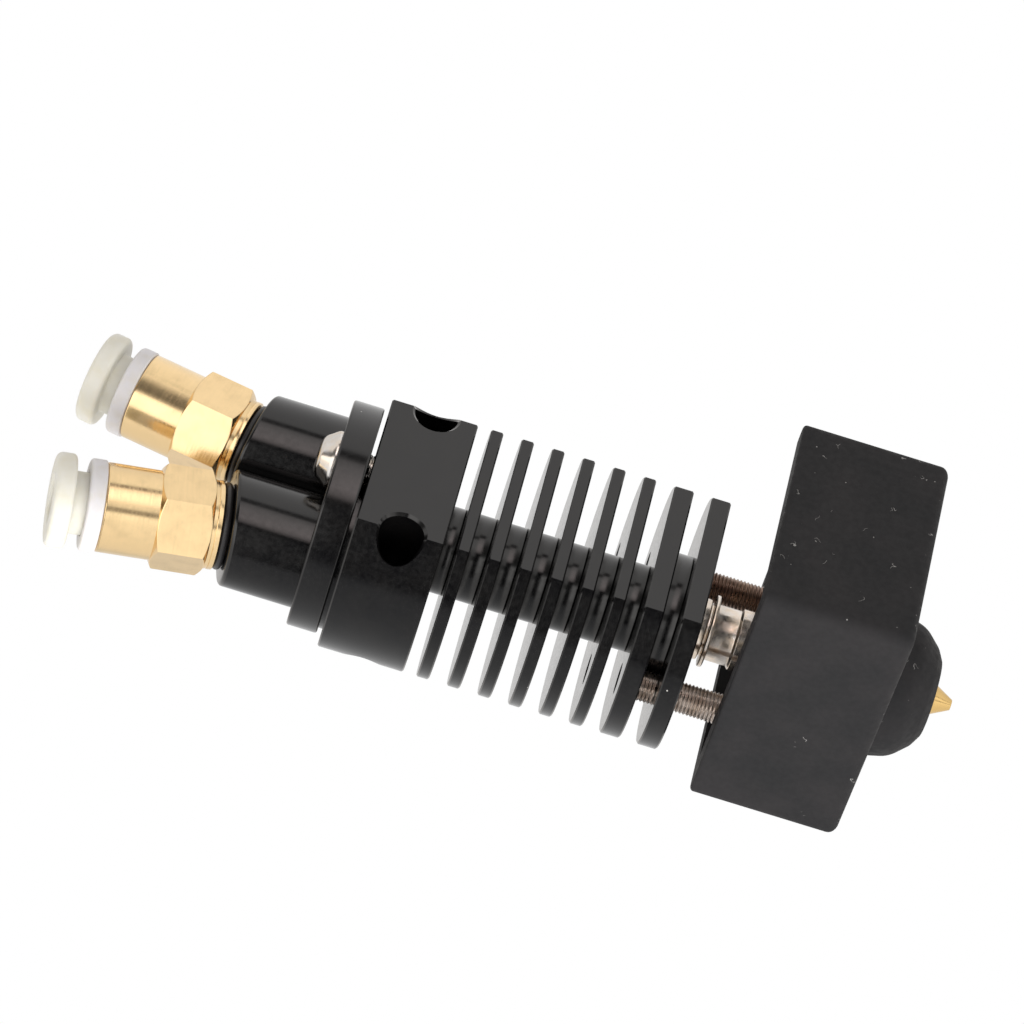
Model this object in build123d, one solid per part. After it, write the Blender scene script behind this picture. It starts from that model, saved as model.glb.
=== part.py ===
from build123d import *
import math
import os

# Dual-inlet mixing hotend. Millimetres.
# +Z runs along the hotend's axis from the nozzle to the filament inlets.
# The origin is the nozzle's tip. X joins the two inlets and the two carriage holes.
# -Y is the front, the side with the heatsink's flat and the carriage holes.

# ---- driving dimensions -------------------------------------------------
AXIS = (0, 0)

# heatsink
SINK_BOTTOM_Z = 25.35
SINK_R = 12.1
SINK_FLAT = 9.0
SINK_CORE_R = 4.2
SINK_FOOT_CORE_R = 6.2
HEAD_HEIGHT = 8.4
FIRST_GAP = 1.3
FIN_PITCH = 3.0
FIN_THICK = 1.2
THIN_FINS = 6
THREADED_FIN_THICK = 1.9
THREADED_FIN_GAP = 1.75
EDGE_BREAK = 0.15

# carriage holes through the heatsink's head
CARRIAGE_SPACING = 16.0
CARRIAGE_HOLE_R = 2.1
CARRIAGE_HOLE_DROP = 4.4
CARRIAGE_CHAMFER = 0.35

# filament path
TUBE_BORE_R = 2.05
CHANNEL_R = 1.0
LINER_R = 2.0
LINER_LENGTH = 13.5
ORIFICE_R = 0.2

# inlet manifold
FLANGE_R = 11.0
FLANGE_THICK = 3.0
FLANGE_GAP = 0.4
PAD_R = 8.4
PAD_Y = 3.0
PAD_MARGIN = 0.4
BOSS_X = 5.4
BOSS_R = 5.45
BOSS_FACE_RISE = 7.9
INLET_TILT = 11.0
SOCKET_EXTRA = 2.2

# M3 screws
M3_R = 1.48
M3_HOLE_R = 1.5
M3_CLEAR_R = 1.65
M3_HEX = 2.0
MANIFOLD_SCREW_Y = 7.2
MANIFOLD_SCREW_LENGTH = 8.0
BUTTON_R = 2.75
BUTTON_HEIGHT = 1.9
SPOT_R = 3.15
SPOT_DEPTH = 0.1
STANDOFF_X = 7.5
STANDOFF_Y = 1.9
STANDOFF_LENGTH = 20.0
STANDOFF_HEAD_R = 2.65
STANDOFF_HEAD_HEIGHT = 1.7
STANDOFF_TOP_Z = 30.2

# push-fit coupler, measured up its own axis from the boss face
THREAD_R = 2.97
THREAD_LENGTH = 6.0
NECK_R = 3.3
NECK_TOP = 0.85
COLLAR_R = 4.2
COLLAR_TOP = 1.7
FACE_SEAL_WIRE_R = 0.4
HEX_FLATS = 8.75
HEX_TOP = 6.8
BARREL_R = 4.22
BARREL_TOP = 11.9
INSERT_R = 4.35
INSERT_TOP = 13.45
INSERT_SLEEVE_R = 3.75
COLLET_NECK_R = 2.95
COLLET_TRAVEL = 1.3
DISC_R = 4.48
DISC_THICK = 1.9
FLARE_R = 3.3
RUNNING = 0.07
SEAL_SEAT = 5.4
SEAL_R = 3.15
SEAL_WIRE_R = 0.5
GRIP_SEAT = 7.0
GRIP_THICK = 0.35
GRIP_TOOTH_R = 2.4
SLEEVE_FOOT = 7.4
FLARE_TOP = 10.2
FLARE_FOOT = 9.1
COLLET_SLOT = 0.6

# heater block
BLOCK_X = 10.2
BLOCK_FRONT = 16.9
BLOCK_BACK = 8.0
BLOCK_BOTTOM_Z = 8.3
BLOCK_TOP_Z = 19.5
M6_R = 2.97
M6_HOLE_R = 3.0
HEATER_R = 3.0
HEATER_Y = -8.6
HEATER_LENGTH = 20.0
SENSOR_R = 1.5
SENSOR_Y = -14.4
SENSOR_LENGTH = 15.0
CARTRIDGE_Z = 14.4
GRUB_LENGTH = 2.0
SENSOR_GRUB_R = 1.0

# heat break and nozzle
BREAK_TOP_Z = 35.4
BREAK_FOOT_Z = 14.6
BREAK_SHOULDER_Z = 21.4
NOZZLE_TOP_Z = 14.5
NOZZLE_HEX = 7.0
NOZZLE_HEX_BASE_Z = 3.5
NOZZLE_HEX_TOP_Z = 6.5
NOZZLE_TIP_R = 0.5
NOZZLE_CONE_R = 2.1
NOZZLE_CONE_Z = 3.0

# silicone sock
SOCK_GAP = 0.1
SOCK_WALL = 1.6
SOCK_FLOOR = 1.2
SOCK_TOP_Z = 21.3
SOCK_LIP = 1.2
SOCK_EDGE_R = 1.2
DOME_END_R = 3.7
DOME_END_Z = 2.0

# ---- places worked out from those ---------------------------------------
TILT = math.radians(INLET_TILT)


def fin_spans():
    """Bottom and top of each fin, the lowest first."""
    spans = []
    z = SINK_BOTTOM_Z
    spans.append((z, z + THREADED_FIN_THICK))
    z += THREADED_FIN_THICK + THREADED_FIN_GAP
    spans.append((z, z + THREADED_FIN_THICK))
    z += THREADED_FIN_THICK + FIN_PITCH - FIN_THICK
    for _ in range(THIN_FINS):
        spans.append((z, z + FIN_THICK))
        z += FIN_PITCH
    return spans


HEAD_BOTTOM_Z = fin_spans()[-1][1] + FIRST_GAP
SINK_TOP_Z = HEAD_BOTTOM_Z + HEAD_HEIGHT
CARRIAGE_Z = SINK_TOP_Z - CARRIAGE_HOLE_DROP
FLANGE_BOTTOM_Z = SINK_TOP_Z + FLANGE_GAP
FLANGE_TOP_Z = FLANGE_BOTTOM_Z + FLANGE_THICK
BOSS_FACE_Z = FLANGE_TOP_Z + BOSS_FACE_RISE
MERGE_Z = BOSS_FACE_Z - BOSS_X / math.tan(TILT)
LINER_TOP_Z = MERGE_Z - 1.2
LINER_FOOT_Z = LINER_TOP_Z - LINER_LENGTH
SOCK_BOTTOM_Z = BLOCK_BOTTOM_Z - SOCK_GAP - SOCK_FLOOR


# ---- helpers ------------------------------------------------------------
def rod(radius, z0, z1, centre=AXIS):
    """Upright cylinder between two heights."""
    place = Pos(centre[0], centre[1], z0)
    return place * Cylinder(radius, z1 - z0, align=(Align.CENTER, Align.CENTER, Align.MIN))


def hex_rod(flats, z0, z1, turn=0.0):
    """Upright hexagonal prism with its corners turned down at both ends."""
    prism = extrude(RegularPolygon(flats / 2, 6, major_radius=False, rotation=turn), z1 - z0)
    corner_r = flats / 2 / math.cos(math.pi / 6)
    drop = (corner_r - flats / 2) * math.tan(math.radians(30))
    outline = Polyline(
        (0, 0), (flats / 2, 0), (corner_r, drop),
        (corner_r, z1 - z0 - drop), (flats / 2, z1 - z0), (0, z1 - z0), close=True,
    )
    turned = revolve(Plane.XZ * make_face(outline), Axis.Z)
    return Pos(0, 0, z0) * (prism & turned)


def turned(points):
    """Solid of revolution about Z from (radius, height) points that start and end on the axis."""
    return revolve(Plane.XZ * make_face(Polyline(*points, close=True)), Axis.Z)


def box(x0, x1, y0, y1, z0, z1):
    """Box between limits."""
    size = Box(x1 - x0, y1 - y0, z1 - z0, align=(Align.MIN, Align.MIN, Align.MIN))
    return Pos(x0, y0, z0) * size


def socket_cut(radius_flats, depth, top_z):
    """Hexagon key socket sunk from a height."""
    return Pos(0, 0, top_z - depth) * extrude(
        RegularPolygon(radius_flats / 2, 6, major_radius=False), depth + 1
    )


def inlet_frame(side):
    """Coupler frame: origin on the boss face, Z up and out along the tilted inlet."""
    return Pos(side * BOSS_X, 0, BOSS_FACE_Z) * Rot(0, side * INLET_TILT, 0)


def standoff_places():
    return [(side * STANDOFF_X, STANDOFF_Y) for side in (-1, 1)]


# ---- heatsink -----------------------------------------------------------
def sink_disc(z0, z1):
    """One slice of the finned cylinder: round, with a flat at the front."""
    disc = rod(SINK_R, z0, z1)
    keep = box(-SINK_R, SINK_R, -SINK_FLAT, SINK_R, z0, z1)
    disc = disc & keep
    edges = disc.edges().filter_by(lambda e: abs(e.bounding_box().size.Z) < 1e-6)
    return chamfer(edges, EDGE_BREAK)


def heatsink():
    body = sink_disc(HEAD_BOTTOM_Z, SINK_TOP_Z)
    body += rod(SINK_CORE_R, SINK_BOTTOM_Z + 0.5, HEAD_BOTTOM_Z + 0.5)
    body += rod(SINK_FOOT_CORE_R, SINK_BOTTOM_Z + 0.5, fin_spans()[1][0] + 0.5)
    for z0, z1 in fin_spans():
        body += sink_disc(z0, z1)
    body -= carriage_holes()
    for y in (-MANIFOLD_SCREW_Y, MANIFOLD_SCREW_Y):
        body -= rod(M3_HOLE_R, SINK_TOP_Z - MANIFOLD_SCREW_LENGTH + 1.5, SINK_TOP_Z + 1, (0, y))
    lowest_thin_fin_top = fin_spans()[2][1]
    for place in standoff_places():
        body -= rod(M3_HOLE_R, SINK_BOTTOM_Z - 1, lowest_thin_fin_top + 0.5, place)
    body -= rod(M6_HOLE_R, SINK_BOTTOM_Z - 1, BREAK_TOP_Z + 0.1)
    body -= rod(TUBE_BORE_R, BREAK_TOP_Z, LINER_TOP_Z + 0.1)
    body -= turned([(0, LINER_TOP_Z), (TUBE_BORE_R, LINER_TOP_Z), (CHANNEL_R, MERGE_Z), (0, MERGE_Z)])
    for side in (-1, 1):
        reach = BOSS_X / math.sin(TILT)
        channel = Cylinder(CHANNEL_R, reach, align=(Align.CENTER, Align.CENTER, Align.MAX))
        body -= inlet_frame(side) * channel
    return body


def carriage_holes():
    """Two through holes along Y with chamfered mouths on the front flat."""
    cutter = None
    for side in (-1, 1):
        x = side * CARRIAGE_SPACING / 2
        hole = Pos(x, 0, CARRIAGE_Z) * Rot(90, 0, 0) * Cylinder(CARRIAGE_HOLE_R, 4 * SINK_R)
        mouth = Pos(x, -SINK_FLAT, CARRIAGE_Z) * Rot(90, 0, 0) * Cone(
            CARRIAGE_HOLE_R,
            CARRIAGE_HOLE_R + 2 * CARRIAGE_CHAMFER,
            2 * CARRIAGE_CHAMFER,
        )
        pair = hole + mouth
        cutter = pair if cutter is None else cutter + pair
    return cutter


# ---- inlet manifold -----------------------------------------------------
def inlet_manifold():
    flange = rod(FLANGE_R, FLANGE_BOTTOM_Z, FLANGE_TOP_Z)
    rims = flange.edges().filter_by(GeomType.CIRCLE)
    body = chamfer(rims, EDGE_BREAK)
    for side in (-1, 1):
        body += inlet_boss(side)
    pad_span = (SINK_TOP_Z, FLANGE_BOTTOM_Z + 0.5)
    body += rod(PAD_R, *pad_span, (0, PAD_Y)) & rod(FLANGE_R - PAD_MARGIN, *pad_span)
    for side in (-1, 1):
        body -= inlet_frame(side) * inlet_bore()
    for y in (-MANIFOLD_SCREW_Y, MANIFOLD_SCREW_Y):
        body -= rod(M3_CLEAR_R, SINK_TOP_Z - 1, FLANGE_TOP_Z + 1, (0, y))
        body -= rod(SPOT_R, FLANGE_TOP_Z - SPOT_DEPTH, FLANGE_TOP_Z + 1, (0, y))
    return body


def inlet_boss(side):
    """Upright round boss on one half of the flange, cut square to its tilted inlet."""
    boss = rod(BOSS_R, FLANGE_BOTTOM_Z + 1, BOSS_FACE_Z + 3, (side * BOSS_X, 0))
    own_half = Pos(side * 10, 0, BOSS_FACE_Z) * Box(20, 20, 40)
    above = inlet_frame(side) * Pos(0, 0, 10) * Box(40, 40, 20)
    return (boss & own_half) - above


def inlet_bore():
    """Threaded mouth, tube socket and filament channel of one inlet, in the coupler's frame."""
    socket_foot = -THREAD_LENGTH - SOCKET_EXTRA
    reach = BOSS_X / math.sin(TILT)
    return turned([
        (0, -reach), (CHANNEL_R, -reach), (CHANNEL_R, socket_foot - 1.0),
        (TUBE_BORE_R, socket_foot), (TUBE_BORE_R, -THREAD_LENGTH),
        (M6_HOLE_R, -THREAD_LENGTH), (M6_HOLE_R, -0.7),
        (M6_HOLE_R + 1.0, 0.3), (0, 0.3),
    ])


def manifold_screws():
    """Two button-head screws that hold the manifold to the heatsink."""
    under_head = FLANGE_TOP_Z - SPOT_DEPTH
    head = turned([
        (0, under_head), (BUTTON_R, under_head), (BUTTON_R, under_head + 0.35),
        (BUTTON_R - 0.35, under_head + 0.95), (BUTTON_R - 1.0, under_head + BUTTON_HEIGHT - 0.15),
        (BUTTON_R - 1.4, under_head + BUTTON_HEIGHT), (0, under_head + BUTTON_HEIGHT),
    ])
    head -= socket_cut(M3_HEX, 1.1, under_head + BUTTON_HEIGHT)
    screw = head + rod(M3_R, under_head - MANIFOLD_SCREW_LENGTH, under_head + 0.2)
    return Compound(children=[Pos(0, y, 0) * screw for y in (-MANIFOLD_SCREW_Y, MANIFOLD_SCREW_Y)])


# ---- push-fit couplers --------------------------------------------------
def coupler_body():
    outside = turned([
        (0, -THREAD_LENGTH), (THREAD_R - 0.4, -THREAD_LENGTH), (THREAD_R, -THREAD_LENGTH + 0.4),
        (THREAD_R, 0), (NECK_R, 0), (NECK_R, NECK_TOP), (COLLAR_R, NECK_TOP),
        (COLLAR_R, COLLAR_TOP), (0, COLLAR_TOP),
    ])
    outside += hex_rod(HEX_FLATS, COLLAR_TOP, HEX_TOP, turn=5.7)
    outside += turned([
        (0, HEX_TOP - 0.2), (BARREL_R, HEX_TOP - 0.2), (BARREL_R, BARREL_TOP - 0.25),
        (BARREL_R - 0.25, BARREL_TOP), (0, BARREL_TOP),
    ])
    inside = turned([
        (0, -THREAD_LENGTH - 1), (TUBE_BORE_R, -THREAD_LENGTH - 1), (TUBE_BORE_R, SEAL_SEAT),
        (SEAL_R, SEAL_SEAT), (SEAL_R, GRIP_SEAT), (INSERT_SLEEVE_R + 0.03, GRIP_SEAT),
        (INSERT_SLEEVE_R + 0.03, BARREL_TOP + 1), (0, BARREL_TOP + 1),
    ])
    return outside - inside


def face_seal():
    """Rubber ring between the boss face and the coupler's collar."""
    ring_r = NECK_R + FACE_SEAL_WIRE_R + 0.02
    return Pos(0, 0, NECK_TOP / 2) * Torus(ring_r, FACE_SEAL_WIRE_R)


def tube_seal():
    """Rubber ring that seals on the tube."""
    ring_r = SEAL_R - SEAL_WIRE_R - 0.01
    return Pos(0, 0, SEAL_SEAT + SEAL_WIRE_R + 0.02) * Torus(ring_r, SEAL_WIRE_R)


def grip_ring():
    """Spring-steel washer whose teeth bite the tube."""
    ring = Pos(0, 0, GRIP_SEAT + GRIP_THICK / 2) * Cylinder(INSERT_SLEEVE_R, GRIP_THICK)
    ring -= Cylinder(GRIP_TOOTH_R, 40)
    for k in range(8):
        slot = Rot(0, 0, 45 * k) * Pos(GRIP_TOOTH_R + 0.2, 0, GRIP_SEAT) * Box(1.2, 0.3, 2)
        ring -= slot
    return ring


def coupler_insert():
    """Plastic ring that closes the barrel and guides the collet."""
    guide_r = COLLET_NECK_R + RUNNING
    return turned([
        (FLARE_R + RUNNING, SLEEVE_FOOT), (INSERT_SLEEVE_R, SLEEVE_FOOT),
        (INSERT_SLEEVE_R, BARREL_TOP), (INSERT_R - 0.15, BARREL_TOP), (INSERT_R, BARREL_TOP + 0.15),
        (INSERT_R, INSERT_TOP - 0.25), (INSERT_R - 0.25, INSERT_TOP), (guide_r, INSERT_TOP),
        (guide_r, FLARE_TOP + 0.02), (FLARE_R + RUNNING, FLARE_TOP + 0.02),
    ])


def release_collet():
    """Push-to-release collet: a disc on a slotted, flared sleeve."""
    disc_foot = INSERT_TOP + COLLET_TRAVEL
    disc_top = disc_foot + DISC_THICK
    soft = 0.45
    sleeve = turned([
        (TUBE_BORE_R, FLARE_FOOT), (COLLET_NECK_R, FLARE_FOOT), (FLARE_R, FLARE_FOOT + 0.4),
        (FLARE_R, FLARE_TOP), (COLLET_NECK_R, FLARE_TOP), (COLLET_NECK_R, disc_foot + 0.1),
        (TUBE_BORE_R, disc_foot + 0.1),
    ])
    for turn in (0, 90):
        slot = Rot(0, 0, turn) * Pos(0, 0, FLARE_FOOT + 1.2) * Box(10, COLLET_SLOT, 3.4)
        sleeve -= slot
    disc = turned([
        (0, disc_foot), (DISC_R - 0.3, disc_foot), (DISC_R, disc_foot + 0.3),
        (DISC_R, disc_top - soft), (DISC_R - 0.15, disc_top - 0.15), (DISC_R - soft, disc_top),
        (TUBE_BORE_R + 0.35, disc_top), (TUBE_BORE_R, disc_top - 0.35), (0, disc_top - 0.35),
    ])
    disc -= Pos(0, 0, disc_foot) * Cylinder(TUBE_BORE_R, 20)
    return sleeve + disc


# ---- hot side -----------------------------------------------------------
def heat_break():
    """Steel tube that joins the cold heatsink to the hot block."""
    z = SINK_BOTTOM_Z
    outside = turned([
        (0, BREAK_FOOT_Z), (M6_R, BREAK_FOOT_Z), (M6_R, BREAK_SHOULDER_Z - 0.2),
        (2.72, BREAK_SHOULDER_Z), (2.72, z - 1.75), (3.5, z - 1.75), (3.5, z - 1.3),
        (2.5, z - 1.3), (2.5, z - 1.05), (2.93, z - 1.05), (M6_R, z), (M6_R, BREAK_TOP_Z),
        (0, BREAK_TOP_Z),
    ])
    inside = turned([
        (0, BREAK_FOOT_Z - 1), (CHANNEL_R, BREAK_FOOT_Z - 1), (CHANNEL_R, LINER_FOOT_Z - 0.6),
        (TUBE_BORE_R, LINER_FOOT_Z), (TUBE_BORE_R, BREAK_TOP_Z + 1), (0, BREAK_TOP_Z + 1),
    ])
    return outside - inside


def ptfe_liner():
    tube = rod(LINER_R, LINER_FOOT_Z, LINER_TOP_Z)
    return tube - rod(CHANNEL_R, LINER_FOOT_Z - 1, LINER_TOP_Z + 1)


def standoff_screws():
    """Two long screws from under the heater block into the lowest fins."""
    under_head = STANDOFF_TOP_Z - STANDOFF_LENGTH
    foot = under_head - STANDOFF_HEAD_HEIGHT
    screw = rod(M3_R, under_head - 0.2, STANDOFF_TOP_Z)
    screw = chamfer(screw.faces().sort_by(Axis.Z)[-1].edges(), 0.3)
    screw += rod(STANDOFF_HEAD_R, foot, under_head)
    screw -= Pos(0, 0, foot - 1) * extrude(
        RegularPolygon(M3_HEX / 2, 6, major_radius=False), 2.2
    )
    return Compound(children=[Pos(x, y, 0) * screw for x, y in standoff_places()])


def cartridge(radius, length, y, x0):
    """Round cartridge lying along X, with its ends slightly turned down."""
    body = Pos(x0 + length / 2, y, CARTRIDGE_Z) * Rot(0, 90, 0) * Cylinder(radius, length)
    return chamfer(body.edges().filter_by(GeomType.CIRCLE), 0.3)


def heater_cartridge():
    return cartridge(HEATER_R, HEATER_LENGTH, HEATER_Y, -HEATER_LENGTH / 2)


def thermistor_cartridge():
    return cartridge(SENSOR_R, SENSOR_LENGTH, SENSOR_Y, -BLOCK_X + 0.4)


def grub_screw(radius, y, foot_z):
    """Headless clamp screw that bears on a cartridge from above."""
    screw = rod(radius, foot_z, foot_z + GRUB_LENGTH, (0, y))
    key = Pos(0, y, foot_z + GRUB_LENGTH - 1.2) * extrude(
        RegularPolygon(radius * 0.5, 6, major_radius=False), 2
    )
    return screw - key


def heater_clamp_screw():
    return grub_screw(M3_R, HEATER_Y, CARTRIDGE_Z + HEATER_R + 0.02)


def thermistor_clamp_screw():
    return grub_screw(SENSOR_GRUB_R, SENSOR_Y, CARTRIDGE_Z + SENSOR_R + 0.02)


def heater_block():
    body = box(-BLOCK_X, BLOCK_X, -BLOCK_FRONT, BLOCK_BACK, BLOCK_BOTTOM_Z, BLOCK_TOP_Z)
    body = chamfer(body.edges(), 0.3)
    body -= rod(M6_HOLE_R, BLOCK_BOTTOM_Z - 1, BLOCK_TOP_Z + 1)
    under_head = STANDOFF_TOP_Z - STANDOFF_LENGTH
    for place in standoff_places():
        body -= rod(M3_CLEAR_R, BLOCK_BOTTOM_Z - 1, BLOCK_TOP_Z + 1, place)
        body -= rod(STANDOFF_HEAD_R + 0.05, BLOCK_BOTTOM_Z - 1, under_head, place)
    for radius, y, length in (
        (HEATER_R, HEATER_Y, 4 * BLOCK_X),
        (SENSOR_R, SENSOR_Y, 4 * BLOCK_X),
    ):
        body -= Pos(0, y, CARTRIDGE_Z) * Rot(0, 90, 0) * Cylinder(radius + 0.03, length)
    body -= rod(M3_HOLE_R, CARTRIDGE_Z, BLOCK_TOP_Z + 1, (0, HEATER_Y))
    body -= rod(SENSOR_GRUB_R + 0.02, CARTRIDGE_Z, BLOCK_TOP_Z + 1, (0, SENSOR_Y))
    return body


def nozzle():
    cone_foot = (NOZZLE_TIP_R, 0)
    body = turned([
        (0, 0), cone_foot, (NOZZLE_CONE_R, NOZZLE_CONE_Z), (NOZZLE_HEX / 2, NOZZLE_HEX_BASE_Z),
        (0, NOZZLE_HEX_BASE_Z),
    ])
    body += hex_rod(NOZZLE_HEX, NOZZLE_HEX_BASE_Z - 0.01, NOZZLE_HEX_TOP_Z)
    body += turned([
        (0, NOZZLE_HEX_TOP_Z - 0.1), (2.6, NOZZLE_HEX_TOP_Z - 0.1), (2.6, BLOCK_BOTTOM_Z - 0.5),
        (M6_R, BLOCK_BOTTOM_Z), (M6_R, NOZZLE_TOP_Z), (0, NOZZLE_TOP_Z),
    ])
    body -= turned([
        (0, -1), (ORIFICE_R, -1), (ORIFICE_R, 0.8), (CHANNEL_R, 2.2), (CHANNEL_R, NOZZLE_TOP_Z + 1),
        (0, NOZZLE_TOP_Z + 1),
    ])
    return body


def silicone_sock():
    """Sleeve over the heater block: open round the heat break, low where wires leave, domed below."""
    inner_x = BLOCK_X + SOCK_GAP
    inner_front = BLOCK_FRONT + SOCK_GAP
    inner_back = BLOCK_BACK + SOCK_GAP
    inner_z = BLOCK_BOTTOM_Z - SOCK_GAP
    shell = box(
        -inner_x - SOCK_WALL, inner_x + SOCK_WALL,
        -inner_front - SOCK_WALL, inner_back + SOCK_WALL,
        SOCK_BOTTOM_Z, SOCK_TOP_Z,
    )
    shell = fillet(shell.edges().filter_by(Axis.Z), SOCK_EDGE_R)
    shell = fillet(shell.faces().sort_by(Axis.Z)[0].edges(), 1.1)
    shell = fillet(shell.faces().sort_by(Axis.Z)[-1].edges(), 0.35)
    shell += sock_dome()
    shell -= box(-inner_x, inner_x, -inner_front, inner_back, inner_z, BLOCK_TOP_Z + SOCK_GAP)
    mouth = box(
        -inner_x + SOCK_LIP, inner_x - SOCK_LIP, -inner_front + SOCK_LIP, inner_back - SOCK_LIP,
        BLOCK_TOP_Z, SOCK_TOP_Z + 1,
    )
    shell -= fillet(mouth.edges().filter_by(Axis.Z), 1.2)
    shell -= box(
        inner_x - SOCK_LIP, inner_x + 2 * SOCK_WALL, -inner_front + SOCK_LIP, inner_back + 2 * SOCK_WALL,
        BLOCK_TOP_Z, SOCK_TOP_Z + 1,
    )
    slope = (NOZZLE_CONE_R - NOZZLE_TIP_R) / NOZZLE_CONE_Z
    lip_z = DOME_END_Z + 0.8
    shell -= turned([
        (0, DOME_END_Z - 0.5), (NOZZLE_TIP_R + slope * (DOME_END_Z - 0.5) + 0.1, DOME_END_Z - 0.5),
        (NOZZLE_TIP_R + slope * lip_z + 0.1, lip_z), (3.3, lip_z), (4.9, 4.2), (5.6, inner_z),
        (5.6, inner_z + 0.5), (0, inner_z + 0.5),
    ])
    return shell


def sock_dome():
    """Rounded snout that shields the nozzle."""
    top = SOCK_BOTTOM_Z + 0.6
    outline = Polyline((0, top), (7.0, top), (6.95, SOCK_BOTTOM_Z - 0.3))
    side = Spline(
        (6.95, SOCK_BOTTOM_Z - 0.3), (6.15, 4.1), (4.7, 2.55), (DOME_END_R, DOME_END_Z),
    )
    end = Polyline((DOME_END_R, DOME_END_Z), (0, DOME_END_Z), (0, top))
    return revolve(Plane.XZ * make_face(outline + side + end), Axis.Z)


# ---- writing ------------------------------------------------------------
def build_nodes():
    nodes = {
        "heatsink": heatsink(),
        "inlet_manifold": inlet_manifold(),
        "manifold_screws": manifold_screws(),
        "heat_break": heat_break(),
        "ptfe_liner": ptfe_liner(),
        "standoff_screws": standoff_screws(),
        "heater_block": heater_block(),
        "heater_cartridge": heater_cartridge(),
        "heater_clamp_screw": heater_clamp_screw(),
        "thermistor_cartridge": thermistor_cartridge(),
        "thermistor_clamp_screw": thermistor_clamp_screw(),
        "nozzle": nozzle(),
        "silicone_sock": silicone_sock(),
    }
    coupler_pieces = {
        "coupler_body": coupler_body(),
        "face_seal": face_seal(),
        "tube_seal": tube_seal(),
        "grip_ring": grip_ring(),
        "coupler_insert": coupler_insert(),
        "release_collet": release_collet(),
    }
    for letter, side in (("a", 1), ("b", -1)):
        for name, piece in coupler_pieces.items():
            nodes[f"{name}_{letter}"] = inlet_frame(side) * piece
    return nodes


def main():
    os.makedirs("parts", exist_ok=True)
    for name, solid in build_nodes().items():
        export_step(solid, f"parts/{name}.step")
        print(name, round(solid.volume, 2))
    print("inlet axes meet at z", round(MERGE_Z, 2))
    print("heatsink top z", round(SINK_TOP_Z, 2), "boss face z", round(BOSS_FACE_Z, 2))


main()
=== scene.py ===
import math

import bmesh
import bpy
from mathutils import Matrix, Vector


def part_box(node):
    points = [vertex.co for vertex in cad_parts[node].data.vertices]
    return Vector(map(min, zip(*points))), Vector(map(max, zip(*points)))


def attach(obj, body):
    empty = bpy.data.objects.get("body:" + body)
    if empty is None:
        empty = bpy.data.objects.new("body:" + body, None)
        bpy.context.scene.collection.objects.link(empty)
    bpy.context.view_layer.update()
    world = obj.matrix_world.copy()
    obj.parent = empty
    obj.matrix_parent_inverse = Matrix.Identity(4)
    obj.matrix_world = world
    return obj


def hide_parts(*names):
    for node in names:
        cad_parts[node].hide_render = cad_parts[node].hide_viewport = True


# A dual-inlet hotend. Lengths are in millimetres until skin() turns them into metres.
MM = 0.001

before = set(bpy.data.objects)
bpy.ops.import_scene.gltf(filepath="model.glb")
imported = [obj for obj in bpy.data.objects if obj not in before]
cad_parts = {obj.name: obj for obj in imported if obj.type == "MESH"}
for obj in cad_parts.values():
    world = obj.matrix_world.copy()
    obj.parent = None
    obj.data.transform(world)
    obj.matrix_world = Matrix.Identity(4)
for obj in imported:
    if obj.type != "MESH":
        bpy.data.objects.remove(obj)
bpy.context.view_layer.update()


def edge_mm(node, side, axis):
    """Low (0) or high (1) limit of a CAD node along an axis, in millimetres."""
    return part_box(node)[side][axis] / MM


# ---- sizes --------------------------------------------------------------
X, Y, Z = 0, 1, 2
SEGMENTS = 192
ROUND = [2 * math.pi * k / SEGMENTS for k in range(SEGMENTS)]
THREAD_PITCH = 0.35
THREAD_DEPTH = 0.14

SINK_R = edge_mm("heatsink", 1, X)
SINK_FLAT = -edge_mm("heatsink", 0, Y)
SINK_BOTTOM = edge_mm("heatsink", 0, Z)
SINK_TOP = edge_mm("heatsink", 1, Z)
SINK_CORE_R = 4.2
SINK_FOOT_CORE_R = 6.2
HEAD_HEIGHT = 8.4
FIN_PITCH = 3.0
FIN_THICK = 1.2
THIN_FINS = 6
THREADED_FIN_THICK = 1.9
THREADED_FIN_GAP = 1.75
EDGE = 0.14
CARRIAGE_X = 8.0
CARRIAGE_Z = SINK_TOP - 4.4
CARRIAGE_HOLE_R = 2.1
CARRIAGE_CHAMFER = 0.26

FLANGE_R = edge_mm("inlet_manifold", 1, X)
FLANGE_GAP = 0.4
FLANGE_THICK = 3.0
FLANGE_BOTTOM = SINK_TOP + FLANGE_GAP
FLANGE_TOP = FLANGE_BOTTOM + FLANGE_THICK
PAD_R = 8.4
PAD_Y = 3.0
PAD_MARGIN = 0.4
BOSS_X = 5.4
BOSS_R = 5.45
BOSS_HEIGHT = 7.9
BOSS_FACE = FLANGE_TOP + BOSS_HEIGHT
TILT = math.radians(11.0)

M3_R = 1.48
M3_HOLE_R = 1.5
M6_HOLE_R = 3.0
TUBE_R = 2.05
CHANNEL_R = 1.0
LINER_TOP = edge_mm("ptfe_liner", 1, Z)
BREAK_TOP = edge_mm("heat_break", 1, Z)
BREAK_SHOULDER = 21.4
MANIFOLD_SCREW_Y = 7.2
MANIFOLD_SCREW_LENGTH = 8.0
HEAD_SEAT_DEPTH = 0.1
STANDOFF_X = 7.5
STANDOFF_Y = 1.9
STANDOFF_TOP = edge_mm("standoff_screws", 1, Z)
STANDOFF_LENGTH = 20.0

HEX_FLATS = 8.75
HEX_TURN = math.radians(5.7)
BARREL_TOP = 11.9
INSERT_TOP = 13.45
DISC_FOOT = 14.75
DISC_TOP = 16.65

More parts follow.
